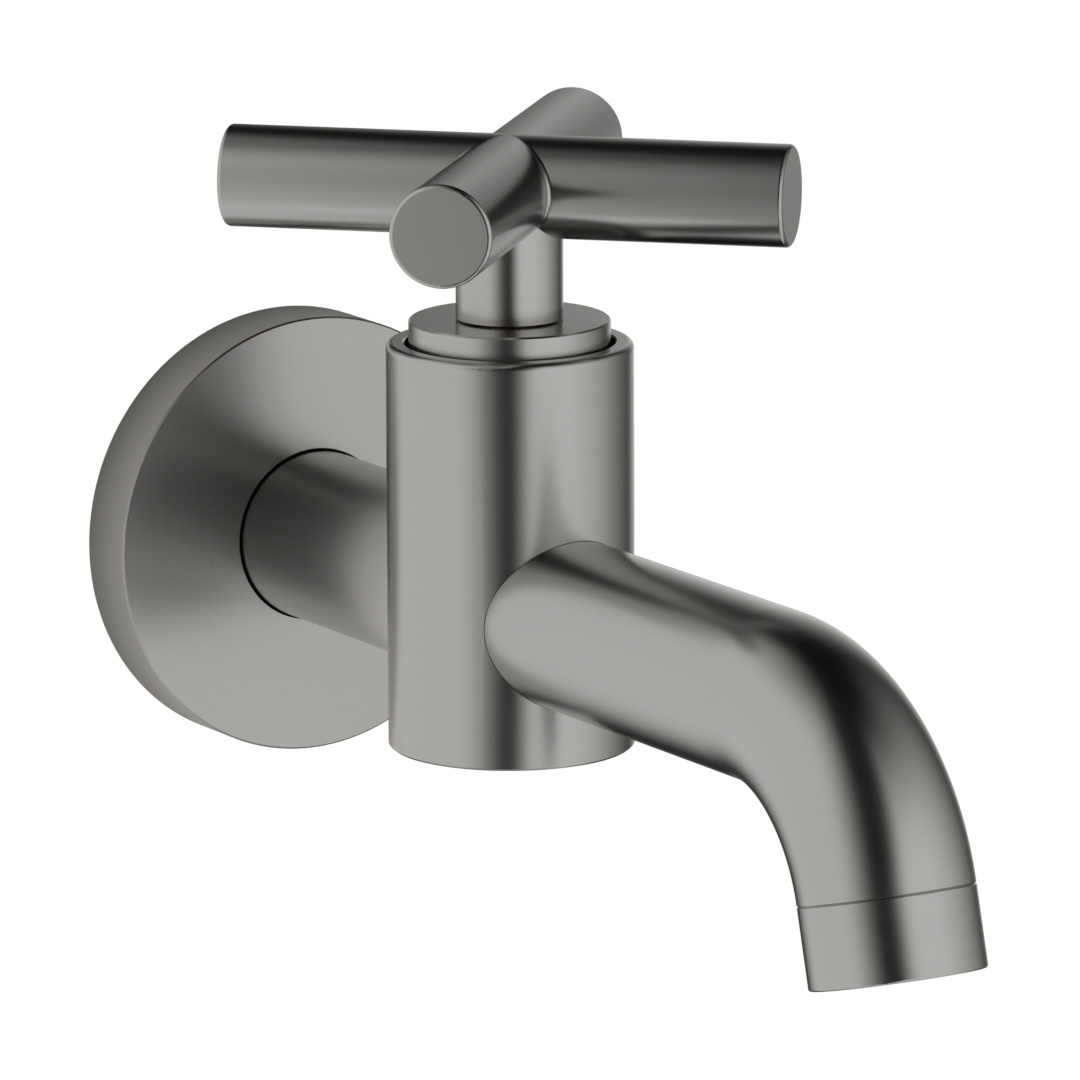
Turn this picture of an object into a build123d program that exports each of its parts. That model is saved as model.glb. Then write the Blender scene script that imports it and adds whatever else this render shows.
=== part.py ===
from build123d import *
from math import cos, radians, sin, sqrt
import os

os.makedirs("parts", exist_ok=True)

# The wall is the plane Y = 0, the tap stands out from it towards -Y, and +Z is up.
# The inlet pipe's axis is the line X = Z = 0. Its thread crosses the wall plane at the origin.
# All sizes are in millimetres and all angles in degrees.

# Inlet pipe, with the pipe thread tail that screws into the fitting in the wall
inlet_reach = 66.7  # from the wall to the upright axis of the valve body
inlet_radius = 12.75
waterway_radius = 7.0
tail_radius = 10.48  # crest of a G1/2 pipe thread
tail_behind_wall = 12.0
tail_before_wall = 2.0
tail_chamfer = 1.0

# Wall rosette
rosette_radius = 33.1
rosette_depth = 10.3
rosette_front_wall = 2.2
rosette_side_wall = 2.0
rosette_edge_chamfer = 0.25
rosette_hole_gap = 0.35  # the ring of shadow round the inlet pipe
rosette_hub_length = 6.4
rosette_hub_wall = 1.7
rosette_ring_width = 1.8  # thickness of the rubber ring that grips the pipe
wall_seal_depth = 2.5
wall_seal_width = 3.4
wall_seal_rebate = 1.0

# Valve body
body_radius = 18.0
body_rise = 39.0  # top rim above the inlet axis
body_drop = 20.8  # closed bottom below the inlet axis
body_rim_round = 0.95
body_bottom_chamfer = 0.3
recess_radius = 15.33
recess_depth = 12.0
recess_edge_chamfer = 0.2
seat_level = 3.0  # valve seat above the inlet axis
supply_pocket_radius = 6.0
supply_pocket_depth = 17.0
inlet_port_radius = 4.5
inlet_port_drop = 2.5
outlet_port_radius = 4.0
outlet_port_rise = 7.0
socket_web = 1.3  # wall between a brazed tube's end and the valve chamber

# Spout
spout_radius = 12.5
spout_wall = 2.0
spout_straight = 69.4  # from the valve body's axis to the start of the bend
spout_bend_radius = 30.0
spout_bend_angle = 75.2
spout_thread_radius = 11.0
seam_chamfer = 0.2

# Aerator in the spout's end
band_length = 11.75
band_edge_round = 0.4
collar_length = 3.6
sleeve_lip = 1.3
sleeve_lip_radius = 8.3
housing_radius = 9.5
housing_wall = 1.0
housing_flange = 1.0
housing_step = 0.4  # ledge that carries the jet plate
aerator_seal_height = 1.4
aerator_seal_inner = 8.6
screen_skirt = 1.8
screen_rise = 1.6
screen_flat_radius = 3.0
screen_thickness = 0.3
jet_plate_thickness = 1.4
jet_count = 10
jet_radius = 0.6
jet_circle_radius = 5.5
comb_thickness = 2.0
comb_rings = 3
comb_web = 0.3
comb_rim = 0.35

# Ceramic headpart
cage_bore = 8.0
cage_wall = 0.9
headpart_thread_radius = 10.48  # G1/2 thread in the body
flange_radius = 13.0
flange_height = 2.2
flange_ring_width = 1.5  # thickness of the rubber ring under the flange
hexagon_across_flats = 19.0
hexagon_height = 5.0
neck_radius = 8.0
neck_height = 4.4
window_width = 80.0
seal_height = 4.0
seal_standout = 1.0
seal_width = 1.6
disc_thickness = 3.0
disc_hub_radius = 2.6
disc_key_width = 3.0
port_width = 76.0
notch_width = 90.0

# Spindle
quarter_turn = 90.0
foot_radius = 7.6
foot_thickness = 2.9
foot_stop_radius = 6.2
stop_key_middle = 90.0
stop_key_width = 30.0
stop_play = 1.0
tang_width = 4.0
tang_height = 1.0
shaft_radius = 4.6
slide_washer_thickness = 0.8
spindle_ring_width = 1.2
spindle_ring_count = 2
spindle_ring_spacing = 5.0
spindle_ring_drop = 9.6  # from the top of the neck to the upper ring
clip_thickness = 0.7
clip_radius = 6.0
clip_groove_depth = 0.7
clip_opening = 70.0
spline_teeth = 20
spline_tip_radius = 4.0
spline_root_radius = 3.5
spline_length = 12.6

# Bonnet cover in the recess
cover_radius = 14.67
cover_rise = 3.28  # cover's top above the body's rim
cover_edge_chamfer = 0.25
cover_top_wall = 2.0
cover_side_wall = 2.67
cover_hub_wall = 2.15
cover_hole_radius = 6.6
cover_groove_depth = 0.9
cover_ring_rise = 2.8  # rubber ring above the cover's lower edge

# Cross handle
handle_gap = 0.3  # between the cover and the turning stem
stem_radius = 7.8
arms_level = 61.84  # arms' axes above the inlet axis
arm_radius = 7.45
arm_reach = 41.73  # from the handle's axis to an arm's flat end
arm_turn = 45.0  # arms stand at this angle to the wall when the tap is closed
arm_end_round = 0.6
corner_round = 0.7
stem_bore_radius = 6.0
insert_headroom = 0.5
grub_screw_radius = 2.0
grub_screw_rise = 6.4
grub_screw_sink = 0.5
grub_socket_across_flats = 2.0
grub_socket_depth = 1.6

# Fits
braze_gap = 0.05
thread_gap = 0.05
running_gap = 0.08
lap_gap = 0.05
loose_gap = 0.3
ring_gap = 0.05
spline_gap = 0.1
ring_flat = 0.4  # flat part of a squeezed rubber ring, as a share of its thickness
cut_past = 1.0  # how far a cut runs out past the face that it opens

# Places worked out from the sizes above
rosette_hole_radius = inlet_radius + rosette_hole_gap
rosette_groove_radius = inlet_radius + rosette_ring_width
rosette_plate_back = rosette_depth - rosette_front_wall
rosette_hub_back = rosette_depth - rosette_hub_length
rosette_ring_level = (rosette_hub_back + rosette_plate_back) / 2
cage_radius = cage_bore + cage_wall
chamber_radius = cage_radius + loose_gap
socket_seat = chamber_radius + socket_web
recess_floor = body_rise - recess_depth
cage_low = seat_level + seal_standout
fixed_disc_low = seat_level + seal_height
fixed_disc_high = fixed_disc_low + disc_thickness
moving_disc_low = fixed_disc_high + lap_gap
moving_disc_high = moving_disc_low + disc_thickness
foot_low = moving_disc_high + lap_gap
foot_high = foot_low + foot_thickness
cage_ceiling = foot_high + slide_washer_thickness + 2 * lap_gap
window_high = moving_disc_high + 2 * lap_gap
body_thread_low = window_high + cage_wall + loose_gap
headpart_thread_low = body_thread_low + loose_gap
headpart_ring_radius = headpart_thread_radius - thread_gap
flange_ring_outer = headpart_thread_radius + flange_ring_width
flange_ring_level = recess_floor - flange_ring_width / 2
flange_high = recess_floor + flange_height
hexagon_high = flange_high + hexagon_height
neck_high = hexagon_high + neck_height
cover_high = body_rise + cover_rise
cover_ceiling = cover_high - cover_top_wall
cover_groove_radius = cover_radius - cover_groove_depth
cover_ring_level = flange_high + cover_ring_rise
clip_low = neck_high + loose_gap
clip_high = clip_low + clip_thickness
stem_low = cover_high + handle_gap
spline_low = stem_low + loose_gap
spindle_high = spline_low + spline_length
insert_high = spindle_high + insert_headroom
grub_screw_level = stem_low + grub_screw_rise
shaft_bore_radius = shaft_radius + running_gap
spindle_groove_radius = shaft_radius - spindle_ring_width
spindle_ring_levels = [
    neck_high - spindle_ring_drop - ring * spindle_ring_spacing for ring in range(spindle_ring_count)
]
housing_low = -collar_length - housing_flange
housing_high = band_length - sleeve_lip - lap_gap
housing_bore = housing_radius - housing_wall
comb_low = housing_high - comb_thickness
insert_radius = housing_bore - ring_gap
jet_plate_low = housing_low + housing_flange + screen_skirt
jet_plate_high = jet_plate_low + jet_plate_thickness

# Frames. The level axis has its Z out from the wall, and the outlet axis from the seam to the mouth.
bend_angle = radians(spout_bend_angle)
AROUND_WALL_AXIS = Plane((0, 0, 0), x_dir=(1, 0, 0), z_dir=(0, -1, 0))
AROUND_VALVE_AXIS = Plane((0, -inlet_reach, 0))
AROUND_OUTLET_AXIS = Plane(
    (
        0,
        -inlet_reach - spout_straight - spout_bend_radius * sin(bend_angle),
        -spout_bend_radius * (1 - cos(bend_angle)),
    ),
    x_dir=(1, 0, 0),
    z_dir=(0, -cos(bend_angle), -sin(bend_angle)),
)


def turned(*outline):
    """Solid turned about Z from an outline of (radius, height) points."""
    return revolve(Plane.XZ * make_face(Polyline(*outline, close=True)), Axis.Z)


def tube(outer, inner, low, high):
    return turned((inner, low), (outer, low), (outer, high), (inner, high))


def rod(radius, low, high):
    return Pos(0, 0, low) * Cylinder(radius, high - low, align=(Align.CENTER, Align.CENTER, Align.MIN))


def bar_across(length, width, low, high):
    """Square bar through the Z axis, along X."""
    bar = Box(length, width, high - low, align=(Align.CENTER, Align.CENTER, Align.MIN))
    return Pos(0, 0, low) * bar


def sector(inner, outer, low, high, middle, width):
    """Piece of a tube about Z that is width degrees wide, about the direction middle."""
    section = Plane.XZ * make_face(
        Polyline((inner, low), (outer, low), (outer, high), (inner, high), close=True)
    )
    return Rot(0, 0, middle - width / 2) * revolve(section, Axis.Z, width)


def rubber_ring(inner, outer, level):
    """Rubber ring about Z, squeezed flat where it meets the two round walls that hold it."""
    thickness = outer - inner - 2 * ring_gap
    middle = (inner + outer) / 2
    flat = thickness * ring_flat / 2
    return turned(
        (inner + ring_gap, level - flat),
        (middle, level - thickness / 2),
        (outer - ring_gap, level - flat),
        (outer - ring_gap, level + flat),
        (middle, level + thickness / 2),
        (inner + ring_gap, level + flat),
    )


def ring_groove(inner, outer, level):
    """Square groove that holds such a ring."""
    half_width = (outer - inner) / 2 + ring_gap
    return tube(outer, inner, level - half_width, level + half_width)


def level_plane(height, towards_wall):
    """Plane on an upright axis: its Z points level, to the wall (1) or away from it (-1)."""
    return Plane((0, 0, height), x_dir=(1, 0, 0), z_dir=(0, towards_wall, 0))


def round_edges(solid):
    """Round edges of a turned solid, from the lowest to the highest."""
    return solid.edges().filter_by(GeomType.CIRCLE).sort_by(Axis.Z)


# Inlet pipe: turned from bar, with the thread tail at the wall and its front end brazed into the body
def inlet_pipe():
    front = inlet_reach - socket_seat
    return AROUND_WALL_AXIS * turned(
        (waterway_radius, -tail_behind_wall),
        (tail_radius - tail_chamfer, -tail_behind_wall),
        (tail_radius, -tail_behind_wall + tail_chamfer),
        (tail_radius, tail_before_wall),
        (inlet_radius, tail_before_wall),
        (inlet_radius, front),
        (waterway_radius, front),
    )


# Wall rosette: turned cup with an open back, a hub round the pipe and a rebate for the wall seal
def wall_rosette():
    inside = rosette_radius - rosette_side_wall
    hub_radius = rosette_groove_radius + rosette_hub_wall
    cup = turned(
        (rosette_hole_radius, rosette_depth),
        (rosette_radius - rosette_edge_chamfer, rosette_depth),
        (rosette_radius, rosette_depth - rosette_edge_chamfer),
        (rosette_radius, 0),
        (inside + wall_seal_rebate, 0),
        (inside + wall_seal_rebate, wall_seal_depth),
        (inside, wall_seal_depth),
        (inside, rosette_plate_back),
        (hub_radius, rosette_plate_back),
        (hub_radius, rosette_hub_back),
        (rosette_hole_radius, rosette_hub_back),
    )
    return AROUND_WALL_AXIS * (cup - ring_groove(inlet_radius, rosette_groove_radius, rosette_ring_level))


def rosette_oring():
    return AROUND_WALL_AXIS * rubber_ring(inlet_radius, rosette_groove_radius, rosette_ring_level)


def wall_seal_ring():
    outer = rosette_radius - rosette_side_wall + wall_seal_rebate - ring_gap
    return AROUND_WALL_AXIS * tube(outer, outer - wall_seal_width, 0, wall_seal_depth)


# Valve body: upright cylinder bored from its top, with a socket for a brazed tube at each side
def valve_body():
    body = turned(
        (0, -body_drop),
        (body_radius - body_bottom_chamfer, -body_drop),
        (body_radius, body_bottom_chamfer - body_drop),
        (body_radius, body_rise),
        (0, body_rise),
    )
    body = fillet(round_edges(body)[-1], body_rim_round)
    body -= turned(
        (0, seat_level - supply_pocket_depth),
        (supply_pocket_radius, seat_level - supply_pocket_depth),
        (supply_pocket_radius, seat_level),
        (chamber_radius, seat_level),
        (chamber_radius, body_thread_low),
        (headpart_thread_radius, body_thread_low),
        (headpart_thread_radius, recess_floor - flange_ring_width),
        (flange_ring_outer, recess_floor - flange_ring_width),
        (flange_ring_outer, recess_floor),
        (recess_radius, recess_floor),
        (recess_radius, body_rise - recess_edge_chamfer),
        (recess_radius + recess_edge_chamfer, body_rise),
        (0, body_rise),
    )
    body -= level_plane(0, 1) * rod(inlet_radius + braze_gap, socket_seat, body_radius + cut_past)
    body -= level_plane(0, -1) * rod(spout_radius + braze_gap, socket_seat, body_radius + cut_past)
    body -= level_plane(-inlet_port_drop, 1) * rod(inlet_port_radius, 0, socket_seat)
    body -= level_plane(outlet_port_rise, -1) * rod(outlet_port_radius, 0, socket_seat)
    return AROUND_VALVE_AXIS * body


# Spout: tube brazed into the body, level as far as the bend and turned down from there
def spout_form(radius):
    level_part = rod(radius, socket_seat, spout_straight)
    bend_start = Pos(0, 0, spout_straight) * Circle(radius)
    bend_axis = Axis((0, -spout_bend_radius, spout_straight), (1, 0, 0))
    bend = revolve(bend_start, bend_axis, spout_bend_angle)
    return AROUND_VALVE_AXIS * (level_plane(0, -1) * (level_part + bend))


def spout_tube():
    spout = spout_form(spout_radius)
    spout = chamfer(round_edges(spout)[0], seam_chamfer)
    spout -= spout_form(spout_radius - spout_wall)
    thread_depth = collar_length + housing_flange + aerator_seal_height
    return spout - AROUND_OUTLET_AXIS * rod(spout_thread_radius, -thread_depth, cut_past)


# Aerator: outlet band that screws into the spout, with its seal and cartridge
def aerator_sleeve():
    bore = housing_radius + ring_gap
    thread_crest = spout_thread_radius - thread_gap
    sleeve = turned(
        (bore, -collar_length),
        (thread_crest, -collar_length),
        (thread_crest, 0),
        (spout_radius - seam_chamfer, 0),
        (spout_radius, seam_chamfer),
        (spout_radius, band_length),
        (sleeve_lip_radius, band_length),
        (sleeve_lip_radius, band_length - sleeve_lip),
        (bore, band_length - sleeve_lip),
    )
    mouth_edges = round_edges(sleeve)[-2:]
    return AROUND_OUTLET_AXIS * fillet(mouth_edges.sort_by(SortBy.RADIUS)[-1], band_edge_round)


def aerator_seal():
    outer = spout_thread_radius - ring_gap
    low = housing_low - aerator_seal_height
    return AROUND_OUTLET_AXIS * tube(outer, aerator_seal_inner, low, housing_low)


def aerator_housing():
    flange = spout_thread_radius - thread_gap - ring_gap
    ledge = housing_bore - housing_step
    return AROUND_OUTLET_AXIS * turned(
        (housing_bore, housing_low),
        (flange, housing_low),
        (flange, -collar_length),
        (housing_radius, -collar_length),
        (housing_radius, housing_high),
        (housing_bore, housing_high),
        (housing_bore, comb_low),
        (ledge, comb_low),
        (ledge, jet_plate_high),
        (housing_bore, jet_plate_high),
    )


def aerator_screen():
    shoulder = jet_plate_low - screen_skirt
    crown = shoulder - screen_rise
    return AROUND_OUTLET_AXIS * turned(
        (0, crown),
        (screen_flat_radius, crown),
        (insert_radius, shoulder),
        (insert_radius, jet_plate_low),
        (insert_radius - screen_thickness, jet_plate_low),
        (insert_radius - screen_thickness, shoulder + screen_thickness),
        (screen_flat_radius, crown + screen_thickness),
        (0, crown + screen_thickness),
    )


def aerator_jet_plate():
    plate = rod(insert_radius, jet_plate_low, jet_plate_high)
    for place in PolarLocations(jet_circle_radius, jet_count):
        plate -= place * rod(jet_radius, jet_plate_low, jet_plate_high)
    return AROUND_OUTLET_AXIS * plate


def aerator_honeycomb():
    pitch = (insert_radius - comb_rim) / (comb_rings + 0.5)
    cell = RegularPolygon((pitch - comb_web) / 2, 6, major_radius=False)
    plate = Circle(insert_radius)
    for row in range(-comb_rings, comb_rings + 1):
        for column in range(-comb_rings, comb_rings + 1):
            if abs(row + column) <= comb_rings:
                across = pitch * (column + row / 2)
                up = pitch * row * sqrt(3) / 2
                plate -= Pos(across, up) * Rot(0, 0, 30) * cell
    return AROUND_OUTLET_AXIS * (Pos(0, 0, comb_low) * extrude(plate, comb_thickness))


# Headpart body: cage, thread, flange, hexagon and neck, turned and milled from one bar
def headpart_body():
    body = turned(
        (0, cage_low),
        (cage_radius, cage_low),
        (cage_radius, headpart_thread_low),
        (headpart_ring_radius, headpart_thread_low),
        (headpart_ring_radius, recess_floor),
        (flange_radius, recess_floor),
        (flange_radius, flange_high),
        (neck_radius, flange_high),
        (neck_radius, neck_high),
        (0, neck_high),
    )
    hexagon = RegularPolygon(hexagon_across_flats / 2, 6, major_radius=False)
    body += Pos(0, 0, flange_high) * extrude(hexagon, hexagon_height)
    body -= rod(cage_bore, cage_low, cage_ceiling)
    body -= rod(shaft_bore_radius, cage_ceiling, neck_high)
    for side in (0, 180):
        body -= sector(
            cage_bore - cut_past, cage_radius + cut_past, moving_disc_low, window_high, side, window_width
        )
    key_slots = bar_across(
        2 * (cage_radius + cut_past), disc_key_width + 2 * ring_gap, cage_low, fixed_disc_high
    )
    body -= Rot(0, 0, 90) * key_slots
    stop_key = sector(
        foot_stop_radius + loose_gap,
        cage_bore + cage_wall / 2,
        foot_low + lap_gap,
        foot_high,
        stop_key_middle,
        stop_key_width,
    )
    return AROUND_VALVE_AXIS * (body + stop_key)


def headpart_oring():
    return AROUND_VALVE_AXIS * rubber_ring(headpart_ring_radius, flange_ring_outer, flange_ring_level)


def seat_seal():
    outer = cage_bore - ring_gap
    return AROUND_VALVE_AXIS * tube(outer, outer - seal_width, seat_level, fixed_disc_low)


# Ceramic discs: the lower one is keyed in the cage, and the upper one turns on it with the spindle
def fixed_ceramic_disc():
    port_radius = cage_bore - ring_gap - seal_width
    disc = rod(cage_bore - 2 * ring_gap, fixed_disc_low, fixed_disc_high)
    keys = bar_across(2 * (cage_radius - ring_gap), disc_key_width, fixed_disc_low, fixed_disc_high)
    disc += Rot(0, 0, 90) * keys
    for side in (0, 180):
        disc -= sector(disc_hub_radius, port_radius, fixed_disc_low, fixed_disc_high, side, port_width)
    return AROUND_VALVE_AXIS * disc


def moving_ceramic_disc():
    disc = rod(foot_radius, moving_disc_low, moving_disc_high)
    for side in (90, 270):
        disc -= sector(
            disc_hub_radius, foot_radius + cut_past, moving_disc_low, moving_disc_high, side, notch_width
        )
    slot_floor = moving_disc_high - tang_height - lap_gap
    slot = bar_across(2 * (foot_radius + cut_past), tang_width + 2 * ring_gap, slot_floor, moving_disc_high)
    return AROUND_VALVE_AXIS * (disc - slot)


# Spindle: foot with a tang and a stop notch below, sealed shaft, and a toothed top
def spline_outline(tip_radius, root_radius):
    """Toothed outline: of each pitch, a quarter is tip, a quarter is root and the rest is flanks."""
    quarter_pitch = 360 / spline_teeth / 4
    points = []
    for tooth in range(spline_teeth):
        for quarter, radius in enumerate((tip_radius, tip_radius, root_radius, root_radius)):
            angle = radians((4 * tooth + quarter) * quarter_pitch)
            points.append((radius * cos(angle), radius * sin(angle)))
    return make_face(Polyline(*points, close=True))


def spindle():
    clip_floor = shaft_radius - clip_groove_depth
    clip_groove_high = clip_high + 2 * lap_gap
    body = turned(
        (0, foot_low),
        (foot_radius, foot_low),
        (foot_radius, foot_high),
        (shaft_radius, foot_high),
        (shaft_radius, clip_low),
        (clip_floor, clip_low),
        (clip_floor, clip_groove_high),
        (shaft_radius, clip_groove_high),
        (shaft_radius, spline_low),
        (0, spline_low),
    )
    teeth = spline_outline(spline_tip_radius, spline_root_radius)
    body += Pos(0, 0, spline_low) * extrude(teeth, spline_length)
    tang_low = foot_low - tang_height
    tang = bar_across(2 * foot_radius, tang_width, tang_low, foot_low)
    body += tang & rod(foot_radius, tang_low, foot_low)
    stop_notch = sector(
        foot_stop_radius,
        foot_radius + cut_past,
        foot_low,
        foot_high,
        stop_key_middle - quarter_turn / 2,
        stop_key_width + quarter_turn + 2 * stop_play,
    )
    body -= stop_notch
    for level in spindle_ring_levels:
        body -= ring_groove(spindle_groove_radius, shaft_bore_radius, level)
    return AROUND_VALVE_AXIS * body


def spindle_orings():
    rings = [rubber_ring(spindle_groove_radius, shaft_bore_radius, level) for level in spindle_ring_levels]
    return AROUND_VALVE_AXIS * Compound(children=rings)


def slide_washer():
    high = foot_high + slide_washer_thickness
    return AROUND_VALVE_AXIS * tube(foot_radius, shaft_bore_radius, foot_high, high)


def spindle_clip():
    low = clip_low + lap_gap
    high = clip_high + lap_gap
    ring = tube(clip_radius, shaft_radius - clip_groove_depth + ring_gap, low, high)
    return AROUND_VALVE_AXIS * (ring - sector(0, clip_radius + cut_past, low, high, 0, clip_opening))


# Bonnet cover: turned cap screwed on the headpart's neck, with a rubber ring against the recess
def bonnet_cover():
    inside = cover_radius - cover_side_wall
    hub_bore = neck_radius + thread_gap
    hub_radius = hub_bore + cover_hub_wall
    hub_low = hexagon_high + loose_gap
    cover = turned(
        (cover_hole_radius, cover_high),
        (cover_radius - cover_edge_chamfer, cover_high),
        (cover_radius, cover_high - cover_edge_chamfer),
        (cover_radius, flange_high),
        (inside, flange_high),
        (inside, cover_ceiling),
        (hub_radius, cover_ceiling),
        (hub_radius, hub_low),
        (hub_bore, hub_low),
        (hub_bore, cover_ceiling),
        (cover_hole_radius, cover_ceiling),
    )
    return AROUND_VALVE_AXIS * (cover - ring_groove(cover_groove_radius, recess_radius, cover_ring_level))


def cover_oring():
    return AROUND_VALVE_AXIS * rubber_ring(cover_groove_radius, recess_radius, cover_ring_level)


# Cross handle: stem and four arms cast in one, bored for the spline insert
def handle_cross():
    bar = rod(arm_radius, -arm_reach, arm_reach)
    bar = Rot(0, 90, 0) * fillet(round_edges(bar), arm_end_round)
    arms = Rot(0, 0, arm_turn) * bar + Rot(0, 0, arm_turn + 90) * bar
    arms = fillet(arms.edges().filter_by(GeomType.ELLIPSE), corner_round)
    handle = rod(stem_radius, stem_low, arms_level) + Pos(0, 0, arms_level) * arms
    handle -= rod(stem_bore_radius, stem_low, insert_high + ring_gap)
    return AROUND_VALVE_AXIS * (handle - grub_screw_hole())


def grub_screw_hole():
    hole = rod(grub_screw_radius + thread_gap, 0, stem_radius + cut_past)
    return level_plane(grub_screw_level, 1) * hole


def spline_insert():
    insert = rod(stem_bore_radius - ring_gap, spline_low, insert_high)
    teeth = spline_outline(spline_tip_radius + spline_gap, spline_root_radius + spline_gap)
    insert -= Pos(0, 0, spline_low) * extrude(teeth, spline_length)
    return AROUND_VALVE_AXIS * (insert - grub_screw_hole())


def grub_screw():
    inner = spline_tip_radius + ring_gap
    outer = stem_radius - grub_screw_sink
    socket = RegularPolygon(grub_socket_across_flats / 2, 6, major_radius=False)
    socket = Pos(0, 0, outer - grub_socket_depth) * extrude(socket, grub_socket_depth)
    screw = rod(grub_screw_radius, inner, outer) - socket
    return AROUND_VALVE_AXIS * (level_plane(grub_screw_level, 1) * screw)


PIECES = (
    wall_seal_ring,
    wall_rosette,
    rosette_oring,
    inlet_pipe,
    valve_body,
    spout_tube,
    aerator_sleeve,
    aerator_seal,
    aerator_housing,
    aerator_screen,
    aerator_jet_plate,
    aerator_honeycomb,
    headpart_body,
    headpart_oring,
    seat_seal,
    fixed_ceramic_disc,
    bonnet_cover,
    cover_oring,
    moving_ceramic_disc,
    spindle,
    spindle_orings,
    slide_washer,
    spindle_clip,
    spline_insert,
    grub_screw,
    handle_cross,
)

for piece in PIECES:
    export_step(piece(), f"parts/{piece.__name__}.step")
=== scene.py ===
import math

import bmesh
import bpy
from mathutils import Matrix, Vector


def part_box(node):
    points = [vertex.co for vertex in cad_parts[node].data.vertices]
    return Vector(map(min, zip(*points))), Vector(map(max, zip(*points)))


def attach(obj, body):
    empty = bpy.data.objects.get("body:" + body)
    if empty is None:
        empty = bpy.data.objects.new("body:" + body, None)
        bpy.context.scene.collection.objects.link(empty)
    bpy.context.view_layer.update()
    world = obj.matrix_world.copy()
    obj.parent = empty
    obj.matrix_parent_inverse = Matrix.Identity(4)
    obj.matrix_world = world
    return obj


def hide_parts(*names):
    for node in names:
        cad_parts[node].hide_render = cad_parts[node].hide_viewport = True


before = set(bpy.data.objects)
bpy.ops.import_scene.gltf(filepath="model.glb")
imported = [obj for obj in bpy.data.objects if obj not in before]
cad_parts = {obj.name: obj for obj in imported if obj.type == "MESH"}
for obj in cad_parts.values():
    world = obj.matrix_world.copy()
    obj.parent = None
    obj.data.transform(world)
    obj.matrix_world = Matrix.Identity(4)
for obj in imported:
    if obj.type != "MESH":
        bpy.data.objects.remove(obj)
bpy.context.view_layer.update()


# Inlet pipe: brass bar, bored for the water and turned down at the wall end for a G1/2 pipe thread.
# The thread is cut with a die: it starts in a chamfer and runs out just before the shoulder.
# The pipe is ground to a satin surface and plated dark grey in one bath with the other pieces that show.
inlet_bore_radius = 0.007
inlet_outer_radius = 0.01275
tail_radius = 0.01048
tail_end = 0.012
tail_shoulder = -0.002
tail_chamfer = 0.001
thread_pitch = 0.001814
thread_depth = 0.00116
thread_runout = 0.0018
thread_crest_share = 0.17
steps_per_pitch = 12
steps_round = 96
same_place = 1e-7
sharp_edge_angle = math.radians(40)


def thread_surface_radius(along, turn):
    """Radius of the die-cut tail at a place along it, a share of a turn round it."""
    into_pitch = ((tail_end - along) / thread_pitch - turn) % 1
    flank = (abs(2 * into_pitch - 1) - thread_crest_share) / (1 - 2 * thread_crest_share)
    cut = min(max(flank, 0), 1)
    before_runout = min(max((along - tail_shoulder) / thread_runout, 0), 1)
    threaded = tail_radius - thread_depth * cut * before_runout
    return min(threaded, tail_radius - tail_chamfer + tail_end - along)


def ring_point(radius, along, turn):
    """Point on a circle round the inlet's axis, a share of a turn on from the +X side."""
    angle = 2 * math.pi * turn
    return Vector((radius * math.cos(angle), along, radius * math.sin(angle)))


def ring_of_corners(solid, radius, along):
    """Evenly spaced corners on a circle round the inlet's axis."""
    return [solid.verts.new(ring_point(radius, along, j / steps_round)) for j in range(steps_round)]


def join_rows(solid, here, after):
    """A band of faces between two rows of corners, each given with the corner that it ends on."""
    for j in range(steps_round):
        corners = (here[j], here[j + 1], after[j + 1], after[j])
        solid.faces.new(dict.fromkeys(corners))


def add_piece(name, solid):
    """Puts the faces that were worked out for a piece into the scene as its mesh."""
    mesh = bpy.data.meshes.new(name)
    solid.to_mesh(mesh)
    solid.free()
    piece = bpy.data.objects.new(name, mesh)
    bpy.context.scene.collection.objects.link(piece)
    return piece


def make_inlet_pipe():
    """Tube with a helical thread. The thread's rows climb by one pitch in each turn round the pipe."""
    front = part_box("inlet_pipe")[0].y
    solid = bmesh.new()
    rows = [ring_of_corners(solid, inlet_bore_radius, tail_end)]
    first_thread_row = len(rows)
    row_count = math.ceil((tail_end - tail_shoulder) / thread_pitch + 1) * steps_per_pitch
    for step in range(row_count + 1):
        row = []
        for j in range(steps_round):
            turn = j / steps_round
            along = tail_end - thread_pitch * (step / steps_per_pitch + turn - 1)
            along = min(max(along, tail_shoulder), tail_end)
            row.append(solid.verts.new(ring_point(thread_surface_radius(along, turn), along, turn)))
        rows.append(row)
    last_thread_row = len(rows) - 1
    rows.append(ring_of_corners(solid, inlet_outer_radius, tail_shoulder))
    rows.append(ring_of_corners(solid, inlet_outer_radius, front))
    rows.append(ring_of_corners(solid, inlet_bore_radius, front))

    for place, here in enumerate(rows):
        after = rows[(place + 1) % len(rows)]
        here_end, after_end = here[0], after[0]
        if first_thread_row <= place < last_thread_row:
            here_end = rows[min(place + steps_per_pitch, last_thread_row)][0]
            after_end = rows[min(place + 1 + steps_per_pitch, last_thread_row)][0]
        join_rows(solid, [*here, here_end], [*after, after_end])
    bmesh.ops.remove_doubles(solid, verts=solid.verts, dist=same_place)
    bmesh.ops.recalc_face_normals(solid, faces=solid.faces)
    pipe = add_piece("inlet_pipe_threaded", solid)
    pipe.data.shade_smooth()
    pipe.data.set_sharp_from_angle(angle=sharp_edge_angle)
    return pipe


def add(tree, kind, feeds=None, **settings):
    """Adds a node to a tree. Each feed is a socket to link or a plain value for the input it names."""
    made = tree.nodes.new("ShaderNode" + kind)
    for name, value in settings.items():
        setattr(made, name, value)
    for name, feed in (feeds or {}).items():
        if isinstance(feed, bpy.types.NodeSocket):
            tree.links.new(feed, made.inputs[name])
        else:
            made.inputs[name].default_value = feed
    return made


def calc(tree, operation, *values):
    """One sum on sockets and plain numbers."""
    return add(tree, "Math", dict(enumerate(values)), operation=operation).outputs[0]


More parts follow.
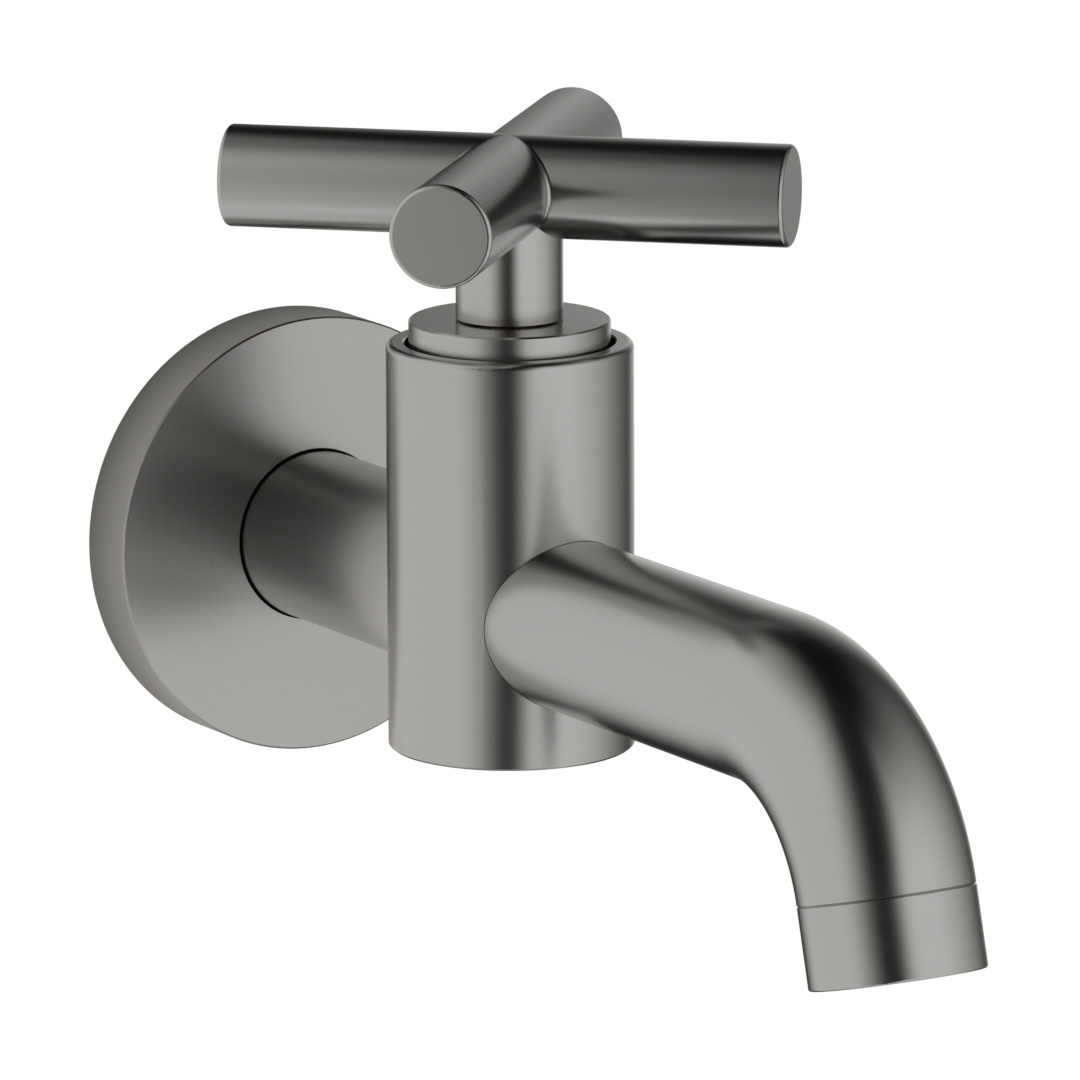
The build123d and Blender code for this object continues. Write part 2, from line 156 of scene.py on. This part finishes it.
def vector_calc(tree, operation, *vectors):
    """One sum on vectors, which gives a length or a distance as a number."""
    result = "Value" if operation in ("LENGTH", "DISTANCE") else "Vector"
    return add(tree, "VectorMath", dict(enumerate(vectors)), operation=operation).outputs[result]


def split_axes(tree, vector):
    """The X, Y and Z of a vector, each on its own."""
    return add(tree, "SeparateXYZ", {0: vector}).outputs


def weigh(tree, first, share, second):
    """The first value by its share and the second by the rest."""
    return calc(tree, "MULTIPLY_ADD", first, share, calc(tree, "MULTIPLY", second, 1 - share))


# The mix node's sockets for each kind of value: the first, the second and the result.
mix_sockets = {"FLOAT": (2, 3, 0), "VECTOR": (4, 5, 1), "RGBA": (6, 7, 2)}


def mix(tree, kind, share, first, second):
    """Goes from the first value to the second as the share rises from 0 to 1."""
    first_socket, second_socket, result = mix_sockets[kind]
    feeds = {0: share, first_socket: first, second_socket: second}
    return add(tree, "Mix", feeds, data_type=kind).outputs[result]


def place_on(tree):
    """Place on the piece in its own axes, so that a texture goes along when the piece moves."""
    return add(tree, "TexCoord").outputs["Object"]


def noise(tree, place, per_metre, detail):
    """Soft blotches between 0 and 1, with finer ones in them for each step of detail."""
    return add(tree, "TexNoise", {"Vector": place, "Scale": per_metre, "Detail": detail}).outputs["Fac"]


def round_marks(tree, centre, lean):
    """Place along a turned piece's outline, with a little of the turn round its axis.

    Texture that is sampled there comes out as fine marks that run round the piece.
    """
    turn_reach = 0.0006
    shift = {"Vector": place_on(tree), "Location": centre, "Rotation": lean}
    own = split_axes(tree, add(tree, "Mapping", shift, vector_type="TEXTURE").outputs[0])
    level = add(tree, "CombineXYZ", {"X": own["X"], "Y": own["Y"]}).outputs[0]
    radius = vector_calc(tree, "LENGTH", level)
    facing = split_axes(tree, vector_calc(tree, "NORMALIZE", level))
    marks = {
        "X": calc(tree, "ADD", radius, own["Z"]),
        "Y": calc(tree, "MULTIPLY", facing["X"], turn_reach),
        "Z": calc(tree, "MULTIPLY", facing["Y"], turn_reach),
    }
    return add(tree, "CombineXYZ", marks).outputs[0]


def new_material(name):
    made = bpy.data.materials.new(name)
    made.use_nodes = True
    return made


def new_finish(name, colour, metallic, roughness):
    """A finish with plain values, some of which may then be varied over the surface."""
    finish = new_material(name)
    shader = finish.node_tree.nodes["Principled BSDF"]
    shader.inputs["Base Color"].default_value = (*colour, 1)
    shader.inputs["Metallic"].default_value = metallic
    shader.inputs["Roughness"].default_value = roughness
    return finish


def feed_shader(finish, socket, feed):
    tree = finish.node_tree
    tree.links.new(feed, tree.nodes["Principled BSDF"].inputs[socket])


def vary_colour(finish, share, first, second):
    """Lets the colour go from the first to the second as the share rises from 0 to 1."""
    feed_shader(finish, "Base Color", mix(finish.node_tree, "RGBA", share, (*first, 1), (*second, 1)))


def vary_gloss(finish, share, smoothest, roughest):
    """Lets the surface go from its smoothest to its roughest as the share rises from 0 to 1."""
    gloss = add(finish.node_tree, "MapRange", {"Value": share, "To Min": smoothest, "To Max": roughest})
    feed_shader(finish, "Roughness", gloss.outputs[0])


def raise_relief(finish, height, depth, strength=1.0):
    """Lets fine relief stand out, as deep as given where the height is 1."""
    relief = add(finish.node_tree, "Bump", {"Height": height, "Strength": strength, "Distance": depth})
    feed_shader(finish, "Normal", relief.outputs[0])


graphite_colour = (0.442, 0.437, 0.423)
graphite_dull = (0.411, 0.406, 0.392)
satin_roughness = 0.24


def grind(finish, marks, smoothest=0.20, roughest=0.28):
    """Satin surface under thin plating: fine grinding marks, and broad, faint changes in tone and gloss."""
    coarse_in_tone = 0.5
    fine_in_gloss = 0.6
    marks_depth = 0.0000012
    tree = finish.node_tree
    fine = noise(tree, marks, per_metre=5200, detail=2)
    coarse = noise(tree, marks, per_metre=900, detail=3)
    cloud = noise(tree, place_on(tree), per_metre=55, detail=3)
    vary_colour(finish, weigh(tree, coarse, coarse_in_tone, cloud), graphite_dull, graphite_colour)
    vary_gloss(finish, weigh(tree, fine, fine_in_gloss, cloud), smoothest, roughest)
    raise_relief(finish, fine, marks_depth)


def graphite(name, marks_of):
    """Dark grey plating on ground brass. The function that is given lays out the grinding marks."""
    finish = new_finish(name, graphite_colour, metallic=1, roughness=satin_roughness)
    grind(finish, marks_of(finish.node_tree))
    return finish


def graphite_turned(name, centre, lean):
    """Graphite plating on a turned piece, with the marks round the axis through its centre."""
    return graphite(name, lambda tree: round_marks(tree, centre, lean))


quarter_turn = math.pi / 2
wall_middle = (0, 0, 0)
level_lean = (quarter_turn, 0, 0)
graphite_round_inlet = graphite_turned("graphite_round_inlet", wall_middle, level_lean)
inlet_pipe = make_inlet_pipe()
inlet_pipe.data.materials.append(graphite_round_inlet)
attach(inlet_pipe, "tap_body")
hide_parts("inlet_pipe")


# Valve body: brass bar, turned outside, bored from the top and drilled for the two tubes.
# The inlet pipe and the spout are brazed into its sides before all three are ground and plated.
valve_axis_y = -0.0667
valve_axis_foot = (0, valve_axis_y, 0)
upright = (0, 0, 0)


def dress(node, finish):
    """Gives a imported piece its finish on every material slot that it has."""
    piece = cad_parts[node]
    if not piece.material_slots:
        piece.data.materials.append(finish)
    for slot in piece.material_slots:
        slot.material = finish


graphite_round_valve = graphite_turned("graphite_round_valve", valve_axis_foot, upright)
dress("valve_body", graphite_round_valve)


# Spout: brass tube, brazed into the body opposite the inlet pipe, straight at first and bent on a
# mandrel at its end. It is ground along its length before it is plated, so its marks follow the bend.
spout_bend_start = -0.1361
spout_bend_radius = 0.030
spout_bend_angle = math.radians(75.2)


def marks_along_spout(tree):
    """Place across the spout at full scale, with a little of the way along it."""
    way_share = 0.03
    rest = split_axes(tree, place_on(tree))
    out = calc(tree, "MULTIPLY", calc(tree, "SUBTRACT", rest["Y"], spout_bend_start), -1)
    above = calc(tree, "ADD", rest["Z"], spout_bend_radius)
    squares = calc(tree, "MULTIPLY_ADD", out, out, calc(tree, "MULTIPLY", above, above))
    bend_height = calc(tree, "SUBTRACT", calc(tree, "SQRT", squares), spout_bend_radius)
    bend_way = calc(tree, "MULTIPLY", calc(tree, "ARCTAN2", out, above), spout_bend_radius)
    in_bend = calc(tree, "GREATER_THAN", out, 0)
    height = mix(tree, "FLOAT", in_bend, rest["Z"], bend_height)
    way = mix(tree, "FLOAT", in_bend, out, bend_way)
    marks = {"X": rest["X"], "Y": calc(tree, "MULTIPLY", way, way_share), "Z": height}
    return add(tree, "CombineXYZ", marks).outputs[0]


dress("spout_tube", graphite("graphite_along_spout", marks_along_spout))


# Aerator: outlet band turned from brass and plated, which screws into the spout by hand.
# It holds a moulded cartridge with a dirt screen, a plate of small jets and a honeycomb.
outlet_seam = (
    0,
    spout_bend_start - spout_bend_radius * math.sin(spout_bend_angle),
    spout_bend_radius * (math.cos(spout_bend_angle) - 1),
)
outlet_lean = (spout_bend_angle + quarter_turn, 0, 0)
dress("aerator_sleeve", graphite_turned("graphite_round_outlet", outlet_seam, outlet_lean))


def moulded(name, colour, roughness):
    """Moulded plastic: a faint skin texture from the tool, with the gloss a little uneven."""
    uneven = 0.08
    skin_depth = 0.000004
    finish = new_finish(name, colour, metallic=0, roughness=roughness)
    tree = finish.node_tree
    flow = noise(tree, place_on(tree), per_metre=140, detail=2)
    skin = noise(tree, place_on(tree), per_metre=2600, detail=3)
    vary_gloss(finish, flow, roughness - uneven, roughness + uneven)
    raise_relief(finish, skin, skin_depth)
    return finish


aerator_acetal = moulded("aerator_acetal", colour=(0.72, 0.73, 0.72), roughness=0.42)
for node in ("aerator_housing", "aerator_jet_plate", "aerator_honeycomb"):
    dress(node, aerator_acetal)


def woven_steel(name):
    """Fine wire cloth: round wires over and under, with painted shade in the gaps between them, where the
    openings are.
    """
    wire_colour = (0.58, 0.58, 0.57)
    gap_painted_shade = (0.03, 0.03, 0.03)
    wires_per_metre = 3200
    wire_foot, wire_side = 0.55, 0.75
    wire_depth = 0.00008
    finish = new_finish(name, wire_colour, metallic=1, roughness=0.3)
    tree = finish.node_tree
    rest = split_axes(tree, place_on(tree))
    waves = []
    for axis in ("X", "Y"):
        phase = calc(tree, "MULTIPLY", rest[axis], wires_per_metre * math.pi)
        waves.append(calc(tree, "ABSOLUTE", calc(tree, "SINE", phase)))
    wire = calc(tree, "MAXIMUM", *waves)
    on_wire = add(tree, "MapRange", {"Value": wire, "From Min": wire_foot, "From Max": wire_side})
    # The gaps between the wires get painted shade.
    vary_colour(finish, on_wire.outputs[0], gap_painted_shade, wire_colour)
    raise_relief(finish, wire, wire_depth, strength=0.8)
    return finish


dress("aerator_screen", woven_steel("screen_cloth"))


def cells(tree, place, per_metre):
    """Round cells side by side, 0 in the middle of each one and highest between them."""
    return add(tree, "TexVoronoi", {"Vector": place, "Scale": per_metre}).outputs["Distance"]


def rubber(name, colour):
    """Moulded rubber: matt black, with a bloom of paler dust and a slightly pebbled skin."""
    bloom_paler = 2.2
    pebble_depth = 0.00001
    finish = new_finish(name, colour, metallic=0, roughness=0.6)
    tree = finish.node_tree
    bloom = noise(tree, place_on(tree), per_metre=320, detail=4)
    vary_colour(finish, bloom, colour, [bloom_paler * part for part in colour])
    raise_relief(finish, cells(tree, place_on(tree), per_metre=3800), pebble_depth)
    return finish


seal_rubber = rubber("seal_rubber", colour=(0.022, 0.022, 0.023))
dress("aerator_seal", seal_rubber)


# Headpart: a brass cartridge that screws into the body and holds the valve discs and the spindle.
# It is turned and milled from bar and left bare, because the cover hides it.
def brass_turned(name):
    """Bare brass with the lathe's feed marks round the valve's axis, a little tarnished in patches."""
    brass_colour = (0.80, 0.60, 0.28)
    brass_tarnished = (0.66, 0.46, 0.19)
    brass_bright = (0.86, 0.67, 0.34)
    feed_depth = 0.000004
    finish = new_finish(name, brass_colour, metallic=1, roughness=0.25)
    tree = finish.node_tree
    feed_marks = noise(tree, round_marks(tree, valve_axis_foot, upright), per_metre=3400, detail=1)
    tarnish = noise(tree, place_on(tree), per_metre=120, detail=4)
    vary_colour(finish, tarnish, brass_tarnished, brass_bright)
    vary_gloss(finish, feed_marks, smoothest=0.18, roughest=0.34)
    raise_relief(finish, feed_marks, feed_depth)
    return finish


bare_brass = brass_turned("bare_brass")
dress("headpart_body", bare_brass)
for node in ("headpart_oring", "seat_seal"):
    dress(node, seal_rubber)


# Valve discs: alumina powder, pressed to shape and fired, with the two faces that meet lapped to a
# near mirror. The lower disc is keyed in the headpart's cage, and the spindle turns the upper one.
def lapped_ceramic(name):
    """Fired alumina, with a fine and faint grain in its white and in its gloss."""
    ceramic_colour = (0.90, 0.89, 0.86)
    ceramic_dull = (0.84, 0.83, 0.79)
    ceramic_bright = (0.93, 0.92, 0.90)
    finish = new_finish(name, ceramic_colour, metallic=0, roughness=0.18)
    tree = finish.node_tree
    grain = noise(tree, place_on(tree), per_metre=4200, detail=2)
    vary_colour(finish, grain, ceramic_dull, ceramic_bright)
    vary_gloss(finish, grain, smoothest=0.12, roughest=0.26)
    return finish


disc_ceramic = lapped_ceramic("disc_ceramic")
for node in ("fixed_ceramic_disc", "moving_ceramic_disc"):
    dress(node, disc_ceramic)


# Spindle: turned brass with a milled foot and spline, and two rubber rings that seal it in the neck.
# A low-friction washer lies over its foot, and a steel clip snaps on above and holds it in.
def bright_steel(name):
    """Stainless steel wire or bar, drawn and tumbled, with a soft even shine."""
    steel_colour = (0.60, 0.60, 0.59)
    tumbled_depth = 0.000003
    finish = new_finish(name, steel_colour, metallic=1, roughness=0.3)
    tree = finish.node_tree
    tumbled = noise(tree, place_on(tree), per_metre=1500, detail=3)
    vary_gloss(finish, tumbled, smoothest=0.22, roughest=0.40)
    raise_relief(finish, tumbled, tumbled_depth)
    return finish


dress("spindle", bare_brass)
dress("spindle_orings", seal_rubber)
washer_acetal = moulded("washer_acetal", colour=(0.80, 0.79, 0.75), roughness=0.38)
dress("slide_washer", washer_acetal)
spring_steel = bright_steel("spring_steel")
dress("spindle_clip", spring_steel)


# Bonnet cover: turned brass cap that screws on the headpart's neck and fills the body's recess.
# A rubber ring keeps it in the middle of the recess and leaves an even gap.
dress("bonnet_cover", graphite_round_valve)
dress("cover_oring", seal_rubber)


# Cross handle: brass, cast in one with four round arms, then turned, ground and plated.
# A splined acetal bush takes up the play between it and the spindle, and a grub screw clamps it.
arms_level = 0.06184
arms_turn = math.radians(45)
stem_marks_radius = 0.0082
stem_marks_top = 0.0542


def marks_round_arms(tree):
    """Marks that run round each arm, and round the stem below the arms."""
    crossing = (0, valve_axis_y, arms_level)
    arms = []
    for turn in (arms_turn, arms_turn + quarter_turn):
        arms.append(round_marks(tree, crossing, (0, quarter_turn, turn)))
    stem = round_marks(tree, valve_axis_foot, upright)
    rest = split_axes(tree, place_on(tree))
    from_axis = calc(tree, "SUBTRACT", rest["Y"], valve_axis_y)
    on_second_arm = calc(tree, "LESS_THAN", calc(tree, "MULTIPLY", rest["X"], from_axis), 0)
    on_arms = mix(tree, "VECTOR", on_second_arm, *arms)
    below_arms = calc(tree, "LESS_THAN", rest["Z"], stem_marks_top)
    square_y = calc(tree, "MULTIPLY", from_axis, from_axis)
    squares = calc(tree, "MULTIPLY_ADD", rest["X"], rest["X"], square_y)
    near_axis = calc(tree, "LESS_THAN", squares, stem_marks_radius**2)
    on_stem = calc(tree, "MULTIPLY", below_arms, near_axis)
    return mix(tree, "VECTOR", on_stem, on_arms, stem)


dress("handle_cross", graphite("graphite_round_arms", marks_round_arms))
dress("spline_insert", washer_acetal)
dress("grub_screw", spring_steel)


# Wall rosette: turned brass cup that slides on the inlet pipe and covers the hole in the wall.
# A rubber ring in its hub grips the pipe, and a foam ring in its back rim beds on the tiles.
def graphite_faced(name):
    """Faced on a lathe: the marks ring the face, so it mirrors things drawn out from its middle."""
    faced_roughness = 0.28
    drawn_out = 0.6
    in_the_face = (1, 0, 1)
    along_the_axis = (0, 1, 0)
    finish = new_finish(name, graphite_colour, metallic=1, roughness=faced_roughness)
    tree = finish.node_tree
    grind(finish, round_marks(tree, wall_middle, level_lean), smoothest=0.25, roughest=0.32)
    outward = vector_calc(tree, "NORMALIZE", vector_calc(tree, "MULTIPLY", place_on(tree), in_the_face))
    feed_shader(finish, "Tangent", vector_calc(tree, "ADD", outward, along_the_axis))
    tree.nodes["Principled BSDF"].inputs["Anisotropic"].default_value = drawn_out
    return finish


dress("wall_rosette", graphite_faced("graphite_faced"))

rosette_groove_radius = 0.01455
rosette_groove_level = -0.006
ring_squeeze = 0.00002
ring_section_steps = 24


def join_rings(solid, here, after):
    """A band of faces between two rings, each closed on its own first corner."""
    join_rows(solid, [*here, here[0]], [*after, after[0]])


def make_squeezed_ring(name, inner, outer, level):
    """Rubber ring as it sits in its groove, pressed against the pipe, so that no light passes beside it."""
    middle, half_width = (inner + outer) / 2, (outer - inner) / 2
    solid = bmesh.new()
    rows = []
    for k in range(ring_section_steps):
        angle = 2 * math.pi * k / ring_section_steps
        radius = middle + half_width * math.cos(angle)
        rows.append(ring_of_corners(solid, radius, level + half_width * math.sin(angle)))
    for k, here in enumerate(rows):
        join_rings(solid, here, rows[(k + 1) % ring_section_steps])
    bmesh.ops.recalc_face_normals(solid, faces=solid.faces)
    ring = add_piece(name, solid)
    ring.data.shade_smooth()
    return ring


rosette_oring = make_squeezed_ring(
    "rosette_oring_squeezed", inlet_outer_radius - ring_squeeze, rosette_groove_radius, rosette_groove_level
)
rosette_oring.data.materials.append(seal_rubber)
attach(rosette_oring, "tap_body")
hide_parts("rosette_oring")


def closed_foam(name):
    """Die-cut closed-cell foam: dark grey, matt, with cells a few tenths of a millimetre wide. Painted
    shade darkens the hollow of each cell against its walls.
    """
    foam_colour = (0.075, 0.075, 0.078)
    cell_hollow_painted_shade = (0.045, 0.045, 0.047)
    cell_wall_colour = (0.125, 0.125, 0.13)
    cell_depth = 0.00012
    finish = new_finish(name, foam_colour, metallic=0, roughness=0.9)
    tree = finish.node_tree
    foam_cells = cells(tree, place_on(tree), per_metre=2400)
    # Painted shade: the hollow middle of each cell is darker than its walls.
    vary_colour(finish, foam_cells, cell_hollow_painted_shade, cell_wall_colour)
    raise_relief(finish, foam_cells, cell_depth)
    return finish


dress("wall_seal_ring", closed_foam("seal_foam"))


# Light tent: a ball of thin white cloth round the tap, lit from outside by three soft boxes.
# The camera looks in through the cloth, so it sees only the tap and the white room behind it.
# Each edge of a box is given by the two angles, in degrees, where it is dark and where it is full.
tent_radius = 0.6
unlit_level = 0.005
left_level = 0.92
left_near_edge = (-33.6, -78.7)
left_far_edge = (-196, -148)
left_top_edge = (90, 38)
left_lean_level, left_lean_rise = 1.3, 0.075
right_level = 1.02
right_near_edge = (-33.8, -12.2)
right_far_edge = (125.7, 16.6)
right_top_edge = (71, 17.3)
right_lean_level, right_lean_rise = 6.3, 0.3
behind_level = 1.0
behind_near_edge = (102, 142)
behind_far_edge = (161, 136)
behind_top_edge = (56.7, -5.8)
behind_foot_edge = (-38, -4)
white = (1, 1, 1, 1)
warm_shade = (1, 0.97, 0.935, 1)


def part_way(tree, value, start, end):
    """Rises softly from 0 where the value is at start to 1 where it is at end."""
    feeds = {"Value": value, "From Min": start, "From Max": end}
    return add(tree, "MapRange", feeds, interpolation_type="SMOOTHSTEP").outputs[0]


def product(tree, *values):
    result = values[0]
    for value in values[1:]:
        result = calc(tree, "MULTIPLY", result, value)
    return result


def lean_at(tree, height, level, rise):
    """How far the edge of a box leans over at a height, in degrees. It never leans the other way."""
    return calc(tree, "MAXIMUM", calc(tree, "MULTIPLY_ADD", height, rise, level), 0)


def tent_brightness(tree):
    """Brightness of the cloth by the turn from straight out of the wall and by the height, in degrees.

    A long soft box stands on the left and reaches round the back, and a second fades out on the right.
    A small one hangs behind, and fades at its top and at its foot. The dark strip between the first two
    opens as it rises, because both boxes lean away from it.
    """
    round_the_back, full_turn = 160, 360
    toward = split_axes(tree, vector_calc(tree, "NORMALIZE", place_on(tree)))
    out = calc(tree, "MULTIPLY", toward["Y"], -1)
    turn = calc(tree, "DEGREES", calc(tree, "ARCTAN2", toward["X"], out))
    height = calc(tree, "DEGREES", calc(tree, "ARCSINE", toward["Z"]))
    left_lean = lean_at(tree, height, left_lean_level, left_lean_rise)
    right_lean = lean_at(tree, height, right_lean_level, right_lean_rise)
    past_back = calc(tree, "MULTIPLY", calc(tree, "GREATER_THAN", turn, round_the_back), -full_turn)
    left_turn = calc(tree, "ADD", turn, past_back)
    left = product(
        tree,
        part_way(tree, calc(tree, "ADD", left_turn, left_lean), *left_near_edge),
        part_way(tree, left_turn, *left_far_edge),
        part_way(tree, height, *left_top_edge),
        left_level,
    )
    right = product(
        tree,
        part_way(tree, calc(tree, "SUBTRACT", turn, right_lean), *right_near_edge),
        part_way(tree, turn, *right_far_edge),
        part_way(tree, height, *right_top_edge),
        right_level,
    )
    behind = product(
        tree,
        part_way(tree, turn, *behind_near_edge),
        part_way(tree, turn, *behind_far_edge),
        part_way(tree, height, *behind_top_edge),
        part_way(tree, height, *behind_foot_edge),
        behind_level,
    )
    brightest = calc(tree, "MAXIMUM", left, calc(tree, "MAXIMUM", right, behind))
    return calc(tree, "MAXIMUM", brightest, unlit_level)


def show_on_surface(tree, shader):
    tree.links.new(shader.outputs[0], tree.nodes["Material Output"].inputs["Surface"])


def lit_cloth(name):
    """Cloth that glows by how much light falls on it from outside, a little warmer where it is dim."""
    cloth = new_material(name)
    tree = cloth.node_tree
    brightness = tent_brightness(tree)
    tint = mix(tree, "RGBA", brightness, warm_shade, white)
    show_on_surface(tree, add(tree, "Emission", {"Color": tint, "Strength": brightness}))
    return cloth


room = bpy.data.worlds.new("white_room")
bpy.context.scene.world = room
room.use_nodes = True
room.node_tree.nodes["Background"].inputs["Color"].default_value = white

ball = bmesh.new()
bmesh.ops.create_uvsphere(ball, u_segments=steps_round, v_segments=steps_round // 2, radius=tent_radius)
light_tent = add_piece("light_tent", ball)
light_tent.location = valve_axis_foot
light_tent.visible_camera = False
light_tent.data.materials.append(lit_cloth("lit_cloth"))


# Floor: a round white board well below the tap, cut straight where it meets the wall.
# It looks as white as the room. The metal mirrors it darker right below the tap, where a painted shadow of
# the tap dims its glow.
floor_level = -0.3
floor_radius = 0.25
floor_middle_y = -0.09
painted_shade_reach = 0.25
floor_painted_shade = 0.5
floor_glow_share = 0.97


def make_floor():
    """A disc whose corners stop at the wall."""
    board = bmesh.new()
    edge = []
    for j in range(steps_round):
        place = ring_point(floor_radius, 0, j / steps_round)
        edge.append(board.verts.new((place.x, min(floor_middle_y + place.z, 0), floor_level)))
    board.faces.new(edge)
    return add_piece("floor", board)


def white_board(name):
    """Glows where the camera or a mirror looks at it, and is plain white paint to all other light. A mirror
    sees a painted shadow of the tap in the glow, darkest in the middle.
    """
    board = new_material(name)
    tree = board.node_tree
    paint = tree.nodes["Principled BSDF"]
    paint.inputs["Base Color"].default_value = white
    paint.inputs["Roughness"].default_value = 1
    paint.inputs["Specular IOR Level"].default_value = 0
    ray = add(tree, "LightPath").outputs
    # Painted shadow of the tap: the glow that a mirror sees is half as bright in the middle and full at the
    # reach.
    from_middle = vector_calc(tree, "DISTANCE", place_on(tree), (0, floor_middle_y, floor_level))
    painted_shade_range = {"Value": from_middle, "From Max": painted_shade_reach, "To Min": floor_painted_shade}
    shade = add(tree, "MapRange", painted_shade_range, interpolation_type="SMOOTHSTEP").outputs[0]
    glow_strength = calc(tree, "MAXIMUM", ray["Is Camera Ray"], shade)
    glow = add(tree, "Emission", {"Color": white, "Strength": glow_strength})
    mirrored = calc(tree, "ADD", ray["Is Glossy Ray"], ray["Is Transmission Ray"])
    looked_at = calc(tree, "ADD", ray["Is Camera Ray"], mirrored)
    mixed = add(tree, "MixShader", {0: calc(tree, "MINIMUM", looked_at, floor_glow_share)})
    tree.links.new(paint.outputs[0], mixed.inputs[1])
    tree.links.new(glow.outputs[0], mixed.inputs[2])
    show_on_surface(tree, mixed)
    return board


floor = make_floor()
floor.data.materials.append(white_board("white_floor"))


# Backing card: a glowing card with a round hole that the rosette stands in. Only the metal mirrors it.
# Its glow is painted shade: darker next to the rosette's edge and most of all above, for the rosette's
# shadow.
# The glow ends in the room's white on the left, and on its right-hand side painted dark puts it out.
card_inner = 0.03305
card_outer = 0.05
painted_edge_glow = 0.28
painted_glow_per_metre_out = 40
painted_glow_per_metre_up = -3
painted_dark_to_the_right, painted_lit_to_the_left = 0.03, 0.01


def painted_shade_card(name):
    """Painted shade: glows more the further out it is from the rosette, a little less the higher up, and
    not at all on its right-hand side.
    """
    painted_shade_finish = new_material(name)
    tree = painted_shade_finish.node_tree
    place = place_on(tree)
    split = split_axes(tree, place)
    outward = calc(tree, "SUBTRACT", vector_calc(tree, "LENGTH", place), card_inner)
    glow_out = calc(tree, "MULTIPLY_ADD", outward, painted_glow_per_metre_out, painted_edge_glow)
    glow_here = calc(tree, "MULTIPLY_ADD", split["Z"], painted_glow_per_metre_up, glow_out)
    # Painted shade: the card is dark on its right-hand side and lights up towards the left.
    painted_lit_on_left = part_way(tree, split["X"], painted_dark_to_the_right, painted_lit_to_the_left)
    strength = calc(tree, "MULTIPLY", glow_here, painted_lit_on_left)
    show_on_surface(tree, add(tree, "Emission", {"Color": warm_shade, "Strength": strength}))
    return painted_shade_finish


card = bmesh.new()
join_rings(card, ring_of_corners(card, card_inner, 0), ring_of_corners(card, card_outer, 0))
backing_card = add_piece("backing_card", card)
backing_card.visible_camera = False
backing_card.data.materials.append(painted_shade_card("painted_shade_card"))


# Camera: a long lens at the photograph's viewing angle, from the tap's left front and a little above it.
# It aims beside the valve body, and leans by the quarter of a degree that the photograph's uprights do.
view_turn = math.radians(-31.711)
view_height = math.radians(12.422)
view_roll = math.radians(0.255)
view_distance = 1.3913
aim_right, aim_up = 0.004256, 0.009204
lens_mm = 318.44
sensor_mm = 36
nearest_seen, farthest_seen = 0.05, 60

across = Vector((math.cos(view_turn), math.sin(view_turn), 0))
backward = Vector((
    math.sin(view_turn) * math.cos(view_height),
    -math.cos(view_turn) * math.cos(view_height),
    math.sin(view_height),
))
upward = backward.cross(across)
aim = Vector(valve_axis_foot) + aim_right * across + aim_up * upward
camera = bpy.data.objects.new("camera", bpy.data.cameras.new("camera"))
camera.data.lens = lens_mm
camera.data.sensor_width = sensor_mm
camera.data.clip_start = nearest_seen
camera.data.clip_end = farthest_seen
camera.matrix_world = (
    Matrix.Translation(aim + view_distance * backward)
    @ Matrix.Rotation(view_turn, 4, "Z")
    @ Matrix.Rotation(quarter_turn - view_height, 4, "X")
    @ Matrix.Rotation(-view_roll, 4, "Z")
)
bpy.context.scene.collection.objects.link(camera)
bpy.context.scene.camera = camera
bpy.context.scene.view_settings.view_transform = "Standard"
